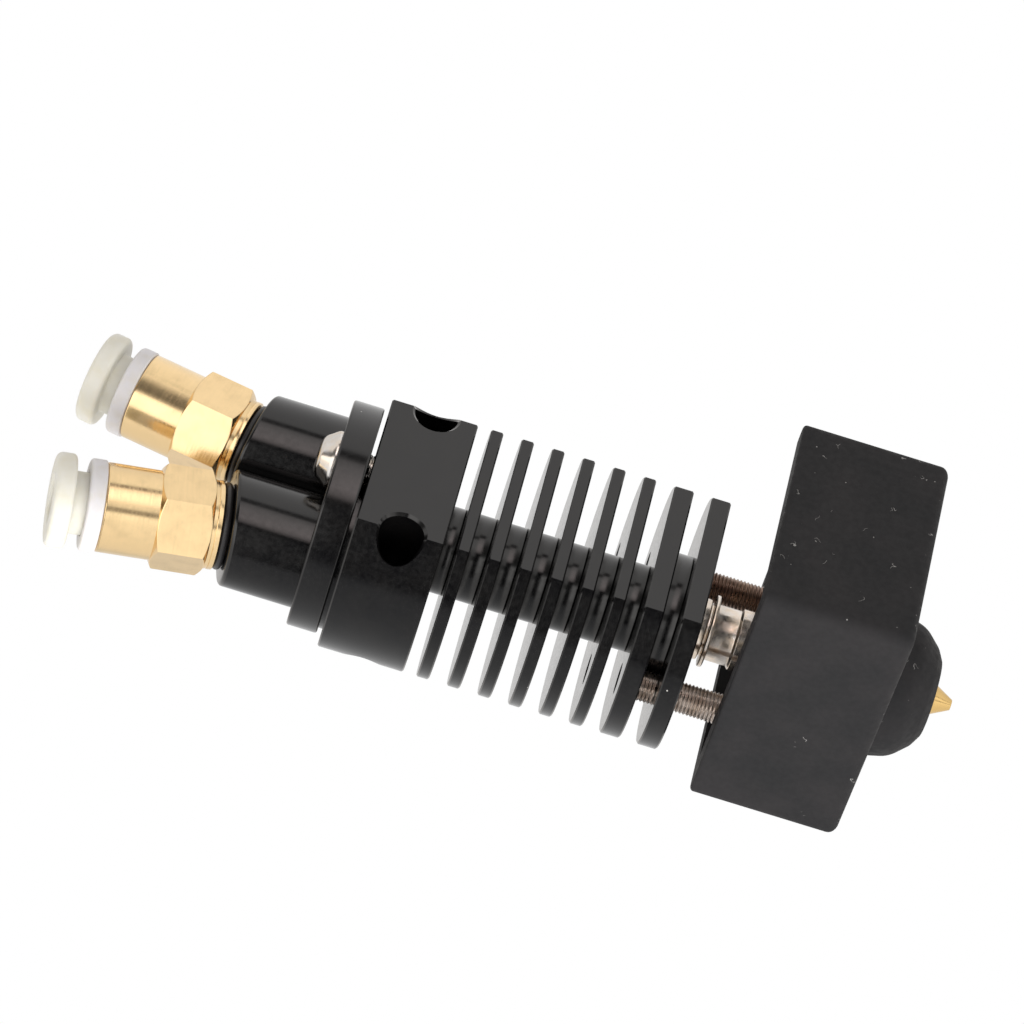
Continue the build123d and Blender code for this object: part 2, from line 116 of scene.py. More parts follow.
SOCK_LOW, SOCK_HIGH = (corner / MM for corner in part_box("silicone_sock"))
SOCK_FLOOR = 7.0
SOCK_WALL = 1.6
SOCK_LIP = 1.2
BLOCK_LOW, BLOCK_HIGH = (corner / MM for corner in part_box("heater_block"))


# ---- outlines and skins -------------------------------------------------
def rounded(points, steps=3):
    """Outline points (a, b) or (a, b, radius) with arcs put in where there is a radius."""
    outline = []
    for i, point in enumerate(points):
        here = Vector(point[:2])
        if len(point) < 3:
            outline.append(here)
            continue
        back = Vector(points[i - 1][:2]) - here
        ahead = Vector(points[(i + 1) % len(points)][:2]) - here
        half = back.angle(ahead) / 2
        reach = min(point[2] / math.tan(half), 0.49 * back.length, 0.49 * ahead.length)
        middle = (back.normalized() + ahead.normalized()).normalized()
        centre = here + middle * reach / math.cos(half)
        start = here + back.normalized() * reach - centre
        end = here + ahead.normalized() * reach - centre
        first = math.atan2(start.y, start.x)
        sweep = math.atan2(end.y, end.x) - first
        sweep = (sweep + math.pi) % (2 * math.pi) - math.pi
        for k in range(steps + 1):
            angle = first + sweep * k / steps
            outline.append(centre + start.length * Vector((math.cos(angle), math.sin(angle))))
    return outline


def ring(radius, height, angles=ROUND, centre=(0, 0)):
    """Loop of points about an upright axis; radius may depend on angle, height on x and y."""
    points = []
    for angle in angles:
        reach = radius(angle) if callable(radius) else radius
        x = centre[0] + reach * math.cos(angle)
        y = centre[1] + reach * math.sin(angle)
        points.append((x, y, height(x, y) if callable(height) else height))
    return points


def spun(outline, angles=ROUND, centre=(0, 0)):
    """Rings of a turned piece from its (radius, height) outline; radius 0 is a pole."""
    rings = []
    for radius, height in outline:
        if radius < 1e-6:
            rings.append([(centre[0], centre[1], height)])
        else:
            rings.append(ring(radius, height, angles, centre))
    return rings


def skin(name, rings, place=Matrix(), closed=True):
    """Mesh object over a stack of rings. A closed stack joins its last ring to its first."""
    points = [Vector(p) * MM for loop in rings for p in loop]
    starts = [0]
    for loop in rings:
        starts.append(starts[-1] + len(loop))
    faces = []
    for i in range(len(rings) if closed else len(rings) - 1):
        j = (i + 1) % len(rings)
        a, b = starts[i], starts[j]
        count = max(len(rings[i]), len(rings[j]))
        for k in range(count):
            n = (k + 1) % count
            if len(rings[i]) == 1 and len(rings[j]) > 1:
                faces.append((a, b + k, b + n))
            elif len(rings[j]) == 1 and len(rings[i]) > 1:
                faces.append((a + k, a + n, b))
            elif len(rings[i]) > 1:
                faces.append((a + k, a + n, b + n, b + k))
    mesh = bpy.data.meshes.new(name)
    mesh.from_pydata(points, [], faces)
    outward(mesh)
    piece = bpy.data.objects.new(name, mesh)
    bpy.context.scene.collection.objects.link(piece)
    piece.matrix_world = place
    return piece


def outward(mesh):
    """Turns every face of a closed mesh outward."""
    work = bmesh.new()
    work.from_mesh(mesh)
    bmesh.ops.recalc_face_normals(work, faces=work.faces)
    work.to_mesh(mesh)
    work.free()


def combine(piece, others, operation):
    """Adds or cuts other solids, which are used up."""
    for other in others:
        step = piece.modifiers.new("combine", "BOOLEAN")
        step.operation = operation
        step.solver = "EXACT"
        step.object = other
    bpy.context.view_layer.update()
    made = piece.evaluated_get(bpy.context.evaluated_depsgraph_get())
    piece.data = bpy.data.meshes.new_from_object(made)
    piece.modifiers.clear()
    for other in others:
        bpy.data.objects.remove(other)
    return piece


def dress(piece, look, slot, body, *nodes, sharp=32):
    """Gives a piece its normals and material, seats it on a body and stands it for nodes. The slot argument
    is not used.
    """
    piece.data.shade_smooth()
    piece.data.set_sharp_from_angle(angle=math.radians(sharp))
    weighted = piece.modifiers.new("normals", "WEIGHTED_NORMAL")
    weighted.keep_sharp = True
    piece.data.materials.clear()
    piece.data.materials.append(look)
    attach(piece, body)
    if nodes:
        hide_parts(*nodes)
    return piece


def inlet_place(side):
    """Frame of one coupler: origin on the boss face, Z up and out along the inlet."""
    shift = Matrix.Translation(Vector((side * BOSS_X, 0, BOSS_FACE)) * MM)
    return shift @ Matrix.Rotation(side * TILT, 4, "Y") @ Matrix.Rotation(HEX_TURN, 4, "Z")


# ---- materials ----------------------------------------------------------
class Look:
    """A node material in the making, with short calls for its usual nodes."""

    def __init__(self, name, color, roughness, metallic=0.0, **sockets):
        self.material = bpy.data.materials.new(name)
        self.material.use_nodes = True
        self.shader = self.material.node_tree.nodes["Principled BSDF"]
        self.set(self.shader, {"Base Color": (*color, 1), "Roughness": roughness, "Metallic": metallic})
        self.set(self.shader, {key.replace("_", " "): value for key, value in sockets.items()})
        object_space = self.add("ShaderNodeTexCoord").outputs["Object"]
        self.place = self.add(
            "ShaderNodeVectorMath", {0: object_space, "Scale": 1 / MM}, operation="SCALE"
        ).outputs[0]

    def set(self, node, inputs):
        for key, value in inputs.items():
            if isinstance(value, bpy.types.NodeSocket):
                self.material.node_tree.links.new(value, node.inputs[key])
            else:
                node.inputs[key].default_value = value

    def add(self, kind, inputs=None, **settings):
        node = self.material.node_tree.nodes.new(kind)
        for key, value in settings.items():
            setattr(node, key, value)
        self.set(node, inputs or {})
        return node

    def stretched(self, x, y, z):
        return self.add(
            "ShaderNodeVectorMath", {0: self.place, 1: (x, y, z)}, operation="MULTIPLY"
        ).outputs[0]

    def noise(self, scale, detail=3.0, where=None, roughness=0.55):
        inputs = {"Scale": scale, "Detail": detail, "Roughness": roughness, "Vector": where or self.place}
        return self.add("ShaderNodeTexNoise", inputs).outputs["Fac"]

    def math(self, operation, a, b=0.0):
        return self.add("ShaderNodeMath", {0: a, 1: b}, operation=operation).outputs[0]

    def span(self, value, low, high, to_low=0.0, to_high=1.0):
        """Maps a range of a value to another, clamped and smooth."""
        inputs = {
            "Value": value, "From Min": low, "From Max": high, "To Min": to_low, "To Max": to_high,
        }
        return self.add("ShaderNodeMapRange", inputs, interpolation_type="SMOOTHSTEP").outputs[0]

    def blend(self, amount, a, b):
        node = self.add("ShaderNodeMix", data_type="RGBA")
        self.set(node, {0: amount})
        for index, value in ((6, a), (7, b)):
            self.set(node, {index: value if isinstance(value, bpy.types.NodeSocket) else (*value, 1)})
        return node.outputs[2]

    def specks(self, scale, share, size):
        """Sparse round specks: 1 inside a speck, 0 elsewhere."""
        cells = self.add("ShaderNodeTexVoronoi", {"Vector": self.place, "Scale": scale})
        pick = self.add("ShaderNodeSeparateColor", {0: cells.outputs["Color"]}).outputs[0]
        chosen = self.math("LESS_THAN", pick, share)
        near = self.span(cells.outputs["Distance"], size * 0.6, size, 1.0, 0.0)
        return self.math("MULTIPLY", chosen, near)

    def fibres(self, scale, share, width):
        """Short fine curved hairs: 1 on a hair, 0 elsewhere."""
        bent = self.noise(scale * 0.8, 2.0)
        line = self.math("ABSOLUTE", self.math("SUBTRACT", bent, 0.5))
        line = self.span(line, width * 0.5, width, 1.0, 0.0)
        patch = self.add("ShaderNodeTexVoronoi", {"Vector": self.place, "Scale": scale * 0.9})
        pick = self.add("ShaderNodeSeparateColor", {0: patch.outputs["Color"]}).outputs[1]
        chosen = self.math("LESS_THAN", pick, share)
        near = self.span(patch.outputs["Distance"], 0.3, 0.34, 1.0, 0.0)
        return self.math("MULTIPLY", line, self.math("MULTIPLY", chosen, near))

    def bump(self, height, depth_mm, strength=1.0, under=None):
        inputs = {"Height": height, "Distance": depth_mm * MM, "Strength": strength}
        if under:
            inputs["Normal"] = under
        return self.add("ShaderNodeBump", inputs).outputs[0]

    def finish(self, **sockets):
        self.set(self.shader, {key.replace("_", " "): value for key, value in sockets.items()})
        return self.material


def black_anodised():
    look = Look("black_anodised", (0.0025, 0.0025, 0.0027), 0.13, IOR=1.55)
    cloud = look.noise(0.35, 4.0)
    grain = look.noise(7.0, 4.0)
    rings = look.noise(1.0, 2.0, look.stretched(0.02, 0.02, 9.0))
    dust = look.specks(0.5, 0.16, 0.045)
    tone = look.blend(look.span(cloud, 0.3, 0.7), (0.0015, 0.0015, 0.0018), (0.0035, 0.0033, 0.0033))
    return look.finish(
        Base_Color=look.blend(dust, tone, (0.4, 0.39, 0.37)),
        Roughness=look.span(look.noise(2.2, 5.0), 0.25, 0.75, 0.11, 0.17),
        Normal=look.bump(rings, 0.0004, under=look.bump(grain, 0.0001)),
    )


def brass(name, color, tool_depth):
    look = Look(name, color, 0.3, 1.0)
    fine = look.noise(1.0, 3.0, look.stretched(0.1, 0.1, 9.0))
    coarse = look.noise(1.0, 2.0, look.stretched(0.25, 0.25, 3.2))
    stain = look.noise(0.5, 4.0)
    darker = tuple(0.88 * c for c in color)
    return look.finish(
        Base_Color=look.blend(look.span(stain, 0.4, 0.8), color, darker),
        Roughness=look.span(look.noise(1.0, 4.0, look.stretched(0.6, 0.6, 9.0)), 0.3, 0.7, 0.14, 0.23),
        Normal=look.bump(coarse, tool_depth * 3, under=look.bump(fine, tool_depth)),
    )


def white_plastic(name, color):
    look = Look(
        name, color, 0.38, Subsurface_Weight=0.35, Subsurface_Radius=(1.0, 0.95, 0.8),
        Subsurface_Scale=0.0012, IOR=1.5,
    )
    cloud = look.noise(0.6, 3.0)
    warm = (color[0] * 0.97, color[1] * 0.95, color[2] * 0.88)
    marks = look.specks(0.45, 0.12, 0.05)
    tone = look.blend(look.span(cloud, 0.35, 0.75), color, warm)
    return look.finish(
        Base_Color=look.blend(marks, tone, (0.25, 0.24, 0.22)),
        Normal=look.bump(look.noise(3.0, 4.0), 0.004),
    )


def steel(name, color, roughness, lines=12.0, depth=0.002):
    look = Look(name, color, roughness, 1.0)
    turning = look.noise(1.0, 3.0, look.stretched(0.15, 0.15, lines))
    heat = look.noise(0.8, 3.0)
    warmer = (color[0], color[1] * 0.9, color[2] * 0.78)
    return look.finish(
        Base_Color=look.blend(look.span(heat, 0.35, 0.7), color, warmer),
        Roughness=look.span(look.noise(2.0, 4.0), 0.3, 0.7, roughness * 0.8, roughness * 1.3),
        Normal=look.bump(turning, depth),
    )


def threaded_steel():
    """Bronze tinged steel, darker and browner on the screw at the +X side."""
    look = Look("threaded_steel", (0.45, 0.38, 0.33), 0.3, 1.0)
    across = look.add("ShaderNodeSeparateXYZ", {0: look.place}).outputs["X"]
    tone = look.blend(look.span(across, -1.0, 1.0), (0.7, 0.63, 0.58), (0.3, 0.21, 0.17))
    patch = look.span(look.noise(0.8, 3.0), 0.35, 0.7, 0.0, 0.4)
    return look.finish(
        Base_Color=look.blend(patch, tone, (0.4, 0.29, 0.2)),
        Roughness=look.span(look.noise(2.0, 4.0), 0.3, 0.7, 0.25, 0.38),
        Normal=look.bump(look.noise(5.0, 3.0), 0.002),
    )


def silicone():
    look = Look("silicone", (0.018, 0.018, 0.019), 0.62, IOR=1.42, Specular_IOR_Level=0.22)
    cloud = look.noise(0.2, 4.0)
    grain = look.noise(14.0, 3.0)
    soft = look.noise(0.7, 3.0)
    dust = look.math("MAXIMUM", look.specks(0.6, 0.4, 0.055), look.specks(1.3, 0.2, 0.075))
    lint = look.math("MAXIMUM", dust, look.fibres(0.9, 0.1, 0.008))
    tone = look.blend(look.span(cloud, 0.3, 0.7), (0.0155, 0.0155, 0.0165), (0.0205, 0.0195, 0.0205))
    return look.finish(
        Base_Color=look.blend(look.math("MULTIPLY", lint, 0.35), tone, (0.6, 0.59, 0.57)),
        Roughness=look.span(look.noise(1.5, 4.0), 0.3, 0.7, 0.55, 0.72),
        Normal=look.bump(soft, 0.015, under=look.bump(grain, 0.005)),
    )


def plain(name, color, roughness, metallic=0.0, grain=6.0, depth=0.004):
    """Quiet procedural finish for the small inner pieces."""
    look = Look(name, color, roughness, metallic)
    spots = look.noise(grain, 4.0)
    darker = tuple(0.8 * c for c in color)
    return look.finish(
        Base_Color=look.blend(look.span(spots, 0.35, 0.7), color, darker),
        Roughness=look.span(spots, 0.3, 0.7, roughness * 0.85, min(1.0, roughness * 1.2)),
        Normal=look.bump(spots, depth),
    )


# ---- heatsink -----------------------------------------------------------
def sink_slices():
    """Height spans of the head and fins, the highest first."""
    spans = [(SINK_TOP - HEAD_HEIGHT, SINK_TOP)]
    z = SINK_BOTTOM + 2 * THREADED_FIN_THICK + THREADED_FIN_GAP + FIN_PITCH - FIN_THICK
    spans += [(z + k * FIN_PITCH, z + k * FIN_PITCH + FIN_THICK) for k in reversed(range(THIN_FINS))]
    upper = SINK_BOTTOM + THREADED_FIN_THICK + THREADED_FIN_GAP
    spans.append((upper, upper + THREADED_FIN_THICK))
    spans.append((SINK_BOTTOM, SINK_BOTTOM + THREADED_FIN_THICK))
    return spans


def sink_outline(inset):
    """Radius by angle of the round heatsink with its front flat, drawn in by an inset."""
    def radius(angle):
        to_front = -math.sin(angle)
        reach = SINK_R - inset
        return min(reach, (SINK_FLAT - inset) / to_front) if to_front > 0.1 else reach
    return radius


def cross_hole(side):
    """Cutter for one carriage hole."""
    outline = [(0, -20), (CARRIAGE_HOLE_R, -20), (CARRIAGE_HOLE_R, 20), (0, 20)]
    along_y = Matrix.Rotation(math.radians(-90), 4, "X")
    place = Matrix.Translation(Vector((side * CARRIAGE_X, 0, CARRIAGE_Z)) * MM) @ along_y
    return skin("hole", spun(outline, ROUND[::3]), place, closed=False)


def break_hole_rims(sink):
    """Chamfers the front rims of the carriage holes, on the flat and on the round side alike."""
    work = bmesh.new()
    work.from_mesh(sink.data)
    rims = []
    for edge in work.edges:
        near = all(
            abs(math.hypot(abs(v.co.x / MM) - CARRIAGE_X, v.co.z / MM - CARRIAGE_Z) - CARRIAGE_HOLE_R) < 0.02
            and v.co.y < 0
            for v in edge.verts
        )
        if near and len(edge.link_faces) == 2 and edge.calc_face_angle() > math.radians(35):
            rims.append(edge)
    bmesh.ops.bevel(work, geom=rims, offset=CARRIAGE_CHAMFER * MM, segments=1, affect="EDGES")
    work.to_mesh(sink.data)
    work.free()


def bore(radius, low, high, centre=(0, 0)):
    """Upright round cutter."""
    outline = [(0, low), (radius, low), (radius, high), (0, high)]
    return skin("bore", spun(outline, ROUND[::3], centre), closed=False)


def channel(side):
    """Cutter for one tilted filament channel, from the manifold to where the channels meet."""
    reach = BOSS_X / math.sin(TILT)
    outline = [(0, -reach), (CHANNEL_R, -reach), (CHANNEL_R, 0), (0, 0)]
    return skin("channel", spun(outline, ROUND[::4]), inlet_place(side), closed=False)


def build_heatsink(look):
    corner = math.acos(SINK_FLAT / SINK_R)
    corners = [1.5 * math.pi - corner, 1.5 * math.pi + corner]
    angles = sorted(ROUND + corners)
    rings = [[(0, 0, SINK_TOP)]]
    slices = sink_slices()
    for i, (low, high) in enumerate(slices):
        section = rounded([(EDGE, high), (0, high - EDGE), (0, low + EDGE), (EDGE, low)])
        rings += [ring(sink_outline(inset), z, angles) for inset, z in section]
        if i + 1 < len(slices):
            root = 0.2
            below = slices[i + 1][1]
            core_r = SINK_FOOT_CORE_R if i + 2 == len(slices) else SINK_CORE_R
            core = rounded([
                (core_r + root, low), (core_r, low, root), (core_r, below, root), (core_r + root, below),
            ])
            rings += [ring(r, z, angles) for r, z in core]
    rings.append([(0, 0, SINK_BOTTOM)])
    sink = skin("heatsink_body", rings, closed=False)
    cutters = [cross_hole(side) for side in (-1, 1)] + [channel(side) for side in (-1, 1)]
    cutters.append(bore(M6_HOLE_R, SINK_BOTTOM - 1, BREAK_TOP + 0.1))
    cutters.append(bore(TUBE_R, BREAK_TOP - 1, LINER_TOP + 0.1))
    for y in (-MANIFOLD_SCREW_Y, MANIFOLD_SCREW_Y):
        cutters.append(bore(M3_HOLE_R, SINK_TOP - 6.5, SINK_TOP + 1, (0, y)))
    thin_fin_top = slices[THIN_FINS][1]
    for x in (-STANDOFF_X, STANDOFF_X):
        cutters.append(bore(M3_HOLE_R, SINK_BOTTOM - 1, thin_fin_top + 0.4, (x, STANDOFF_Y)))
    combine(sink, cutters, "DIFFERENCE")
    break_hole_rims(sink)
    return dress(sink, look, "black_anodised", "hotend", "heatsink")


# ---- manifold -----------------------------------------------------------
def boss(side):
    """One upright round boss with a tilted, softly chamfered top."""
    def face(drop):
        return lambda x, y: BOSS_FACE - drop - math.tan(TILT) * side * (x - side * BOSS_X)

    centre = (side * BOSS_X, 0)
    foot = FLANGE_BOTTOM + 1
    rings = [[(*centre, foot)], ring(BOSS_R, foot, centre=centre)]
    edge = 0.35
    for k in range(5):
        turn = math.pi / 2 * k / 4
        inset = edge * (1 - math.cos(turn))
        drop = edge * (1 - math.sin(turn))
        rings.append(ring(BOSS_R - inset, face(drop), centre=centre))
    rings.append([(*centre, BOSS_FACE)])
    return skin("boss", rings, closed=False)


def inlet_cutter(side):
    """Threaded mouth, tube socket and channel of one inlet."""
    reach = BOSS_X / math.sin(TILT)
    outline = [
        (0, -reach), (CHANNEL_R, -reach), (CHANNEL_R, -9.2), (TUBE_R, -8.2), (TUBE_R, -6.0),
        (M6_HOLE_R, -6.0), (M6_HOLE_R, -0.9), (M6_HOLE_R + 1.2, 0.3), (0, 0.3),
    ]
    return skin("inlet", spun(outline, ROUND[::2]), inlet_place(side), closed=False)


def build_manifold(look):
    outline = rounded([
        (0, FLANGE_BOTTOM), (FLANGE_R, FLANGE_BOTTOM, 0.22), (FLANGE_R, FLANGE_TOP, 0.22), (0, FLANGE_TOP),
    ])
    manifold = skin("manifold_body", spun(outline), closed=False)
    pad = bore(PAD_R, SINK_TOP, FLANGE_BOTTOM + 0.5, (0, PAD_Y))
    combine(pad, [bore(FLANGE_R - PAD_MARGIN, SINK_TOP - 1, FLANGE_TOP)], "INTERSECT")
    combine(manifold, [pad] + [boss(side) for side in (-1, 1)], "UNION")
    cutters = [inlet_cutter(side) for side in (-1, 1)]
    for y in (-MANIFOLD_SCREW_Y, MANIFOLD_SCREW_Y):
        cutters.append(bore(1.65, SINK_TOP - 1, FLANGE_TOP + 1, (0, y)))
        cutters.append(bore(3.15, FLANGE_TOP - HEAD_SEAT_DEPTH, FLANGE_TOP + 2, (0, y)))
    combine(manifold, cutters, "DIFFERENCE")
    return dress(manifold, look, "black_anodised", "hotend", "inlet_manifold")


# ---- screws -------------------------------------------------------------
def key_pit(flats, depth, top, centre):
    """Cutter for a hexagon socket."""
    corner = flats / 2 / math.cos(math.pi / 6)
    six = ROUND[:: SEGMENTS // 6]
    outline = [(0, top - depth - 0.4), (corner, top - depth), (corner, top + 1), (0, top + 1)]
    return skin("key", spun(outline, six, centre), closed=False)


def thread_rings(radius, low, high, steps=8, around=40):
    """Rings of a round-crested helical thread that fades out at both ends."""
    angles = [2 * math.pi * k / around for k in range(around)]
    count = int((high - low) / THREAD_PITCH * steps)
    rings = []
    for i in range(count + 1):
        z = low + (high - low) * i / count
        fade = min(1.0, (z - low) / 0.4 + 0.2, (high - z) / 0.4 + 0.2)
        loop = []
        for angle in angles:
            turn = (z / THREAD_PITCH - angle / (2 * math.pi)) % 1.0
            wave = 0.5 + 0.5 * math.cos(2 * math.pi * turn)
            reach = radius - THREAD_DEPTH * wave * fade - 0.25 * (1 - fade)
            loop.append((reach * math.cos(angle), reach * math.sin(angle), z))
        rings.append(loop)
    return rings


def build_manifold_screws(look):
    """Two button-head screws with hexagon sockets."""
    under = FLANGE_TOP - HEAD_SEAT_DEPTH
    radius, height = 2.75, 1.9
    head = rounded([
        (M3_R, under), (radius, under, 0.1), (radius, under + 0.45, 0.5),
        (radius - 0.85, under + height - 0.25, 1.4), (radius - 1.5, under + height, 0.3), (0, under + height),
    ], steps=6)
    tip = under - MANIFOLD_SCREW_LENGTH
    shank = thread_rings(M3_R, tip, under - 0.3)
    rings = [[(0, 0, tip)]] + shank
    angles = [2 * math.pi * k / len(shank[0]) for k in range(len(shank[0]))]
    screws = []
    for y in (-MANIFOLD_SCREW_Y, MANIFOLD_SCREW_Y):
        place = Matrix.Translation(Vector((0, y, 0)) * MM)
        end = [ring(M3_R, under - 0.1, angles), [(0, 0, under - 0.1)]]
        body = skin("manifold_screw", rings + end, place, closed=False)
        cap = skin("cap", [[(0, 0, under - 0.2)], ring(M3_R, under - 0.2)] + spun(head), place, closed=False)
        combine(body, [cap], "UNION")
        combine(body, [key_pit(2.0, 1.1, under + height, (0, y))], "DIFFERENCE")
        screws.append(body)
    return dress(joined("manifold_screws_body", screws), look, "screw_steel", "hotend", "manifold_screws")


def joined(name, pieces):
    """One mesh object from several that share no faces."""
    work = bmesh.new()
    for piece in pieces:
        mesh = piece.data.copy()
        mesh.transform(piece.matrix_world)
        work.from_mesh(mesh)
        bpy.data.objects.remove(piece)
    mesh = bpy.data.meshes.new(name)
    work.to_mesh(mesh)
    work.free()
    whole = bpy.data.objects.new(name, mesh)
    bpy.context.scene.collection.objects.link(whole)
    return whole


def build_standoff_screws(look):
    """Two long threaded screws; their heads sit inside the block."""
    under = STANDOFF_TOP - STANDOFF_LENGTH
    foot = edge_mm("standoff_screws", 0, Z)
    screws = []
    for x in (-STANDOFF_X, STANDOFF_X):
        shank = thread_rings(M3_R, under - 0.1, STANDOFF_TOP, around=48)
        angles = [2 * math.pi * k / len(shank[0]) for k in range(len(shank[0]))]
        head = [[(0, 0, foot)]]
        head += [ring(r, z, angles) for r, z in rounded([
            (2.45, foot), (2.65, foot + 0.2, 0.1), (2.65, under, 0.1), (M3_R, under),
        ])]
        rings = head + shank + [[(0, 0, STANDOFF_TOP)]]
        place = Matrix.Translation(Vector((x, STANDOFF_Y, 0)) * MM)
        screws.append(skin("standoff_screw", rings, place, closed=False))
    return dress(joined("standoff_screws_body", screws), look, "threaded_steel", "hotend", "standoff_screws")


# ---- couplers -----------------------------------------------------------
def hex_radius(flats):
    """Radius by angle of a hexagon with a corner at angle 0."""
    def radius(angle):
        off = angle % (math.pi / 3) - math.pi / 6
        return flats / 2 / math.cos(off)
    return radius


def hex_rings(flats, low, high):
    """Hexagon with turned-down corners: each chamfer's edge is a curve across the faces."""
    shape = hex_radius(flats)
    slope = math.tan(math.radians(30))
    reach = flats / 2 - 0.1

    def chamfered(end, direction, extra):
        loop = []
        for angle in ROUND:
            r = shape(angle) - extra
            z = end + direction * (r - reach) * slope
            loop.append((r * math.cos(angle), r * math.sin(angle), z))
        return loop

    soft = 0.04
    rings = [ring(reach - 0.05, low), chamfered(low, 1, soft)]
    rings += [[(x, y, z + 0.06) for x, y, z in chamfered(low, 1, 0)]]
    rings += [[(x, y, z - 0.06) for x, y, z in chamfered(high, -1, 0)]]
    rings += [chamfered(high, -1, soft), ring(reach - 0.05, high)]
    return rings


def build_coupler(letter, side, looks):
    """Body, insert ring and release collet of one push-fit coupler."""
    place = inlet_place(side)
    foot = rounded([
        (TUBE_R, -6.0), (2.57, -6.0), (2.97, -5.6), (2.97, -0.2), (3.3, 0.02, 0.05), (3.3, 0.85, 0.05),
        (4.2, 0.85, 0.12), (4.2, 1.7, 0.12),
    ])
    barrel = rounded([
        (4.22, 6.8), (4.22, BARREL_TOP, 0.22), (3.78, BARREL_TOP), (3.78, 7.0), (3.15, 7.0),
        (3.15, 5.4), (TUBE_R, 5.4),
    ])
    rings = spun(foot[:-1]) + hex_rings(HEX_FLATS, 1.7, 6.8) + spun(barrel)
    body = skin(f"coupler_{letter}", rings, place)
    dress(body, looks["brass"], "coupler_brass", "hotend", f"coupler_body_{letter}", sharp=25)
    guide = 3.02
    insert = rounded([
        (3.37, 7.4), (3.75, 7.4), (3.75, BARREL_TOP), (4.35, BARREL_TOP, 0.18),
        (4.35, INSERT_TOP, 0.35), (guide, INSERT_TOP, 0.12), (guide, 10.22), (3.37, 10.22),
    ], steps=5)
    ring_piece = skin(f"insert_{letter}", spun(insert), place)
    dress(ring_piece, looks["insert"], "insert_plastic", "hotend", f"coupler_insert_{letter}")
    neck, flare, disc = 2.95, 3.3, 4.48
    collet = rounded([
        (TUBE_R, 9.1, 0.1), (neck, 9.1), (flare, 9.5, 0.1), (flare, 10.2, 0.05), (neck, 10.2),
        (neck, DISC_FOOT, 0.15), (disc, DISC_FOOT, 0.42), (disc, DISC_TOP, 0.6),
        (TUBE_R, DISC_TOP, 0.45),
    ], steps=6)
    slider = skin(f"collet_{letter}_body", spun(collet), place)
    turned = [place @ Matrix.Rotation(math.radians(turn), 4, "Z") for turn in (0, 90)]
    slots = [slab((-5, -0.3, 8), (5, 0.3, 12), way) for way in turned]
    combine(slider, slots, "DIFFERENCE")
    dress(slider, looks["collet"], "collet_plastic", f"collet_{letter}", f"release_collet_{letter}")


def slab(low, high, place=Matrix()):
    """Cutter that fills the box between two corners."""
    (x0, y0, z0), (x1, y1, z1) = low, high
    loops = [[(x0, y0, z), (x1, y0, z), (x1, y1, z), (x0, y1, z)] for z in (z0, z1)]
    middle = ((x0 + x1) / 2, (y0 + y1) / 2)
    return skin("slab", [[(*middle, z0)], *loops, [(*middle, z1)]], place, closed=False)


# ---- hot side -----------------------------------------------------------
def build_heat_break(look):
    z = SINK_BOTTOM
    foot = edge_mm("heat_break", 0, Z)
    path = rounded([
        (CHANNEL_R, foot), (2.97, foot), (2.97, BREAK_SHOULDER - 0.2, 0.1), (2.72, BREAK_SHOULDER, 0.1),
        (2.72, z - 1.75, 0.08), (3.5, z - 1.75, 0.14), (3.5, z - 1.3, 0.14), (2.5, z - 1.3, 0.06),
        (2.5, z - 1.05, 0.06), (2.93, z - 1.05, 0.12), (2.97, z), (2.97, BREAK_TOP), (TUBE_R, BREAK_TOP),
        (TUBE_R, LINER_TOP - 13.5), (CHANNEL_R, LINER_TOP - 14.1),
    ])
    return dress(skin("heat_break_body", spun(path)), look, "polished_steel", "hotend", "heat_break")


def build_nozzle(look):
    """Nozzle with its cone, hexagon and thread."""
    tip_r, cone_r, cone_z, top = 0.5, 2.1, 3.0, edge_mm("nozzle", 1, Z)
    cone = rounded([(0.2, 0), (tip_r, 0, 0.08), (cone_r, cone_z, 0.2), (3.2, 3.4), (3.3, 3.45)])
    upper = [(2.6, 6.5), (2.6, 7.9), (2.97, 8.4), (2.97, top), (1.0, top), (1.0, 2.2), (0.2, 0.8)]
    rings = spun(cone) + hex_rings(7.0, 3.5, 6.5) + spun(upper)
    return dress(skin("nozzle_body", rings), look, "nozzle_brass", "hotend", "nozzle", sharp=25)


def sock_loop(inset, radius, height, low, high, straight=14, bend=7):
    """Round-cornered rectangle, drawn in by an inset, as evenly kept points."""
    x0, x1 = low.x + inset, high.x - inset
    y0, y1 = low.y + inset, high.y - inset
    radius = max(radius, 0.05)
    corners = [
        ((x1 - radius, y1 - radius), 0), ((x0 + radius, y1 - radius), 90),
        ((x0 + radius, y0 + radius), 180), ((x1 - radius, y0 + radius), 270),
    ]
    loop = []
    for i, ((cx, cy), start) in enumerate(corners):
        for k in range(bend + 1):
            angle = math.radians(start + 90 * k / bend)
            loop.append((cx + radius * math.cos(angle), cy + radius * math.sin(angle), height))
        (nx, ny), turn = corners[(i + 1) % 4]
        last = Vector(loop[-1])
        angle = math.radians(turn)
        ahead = Vector((nx + radius * math.cos(angle), ny + radius * math.sin(angle), height))
        loop += [tuple(last.lerp(ahead, k / straight)) for k in range(1, straight)]
    return loop


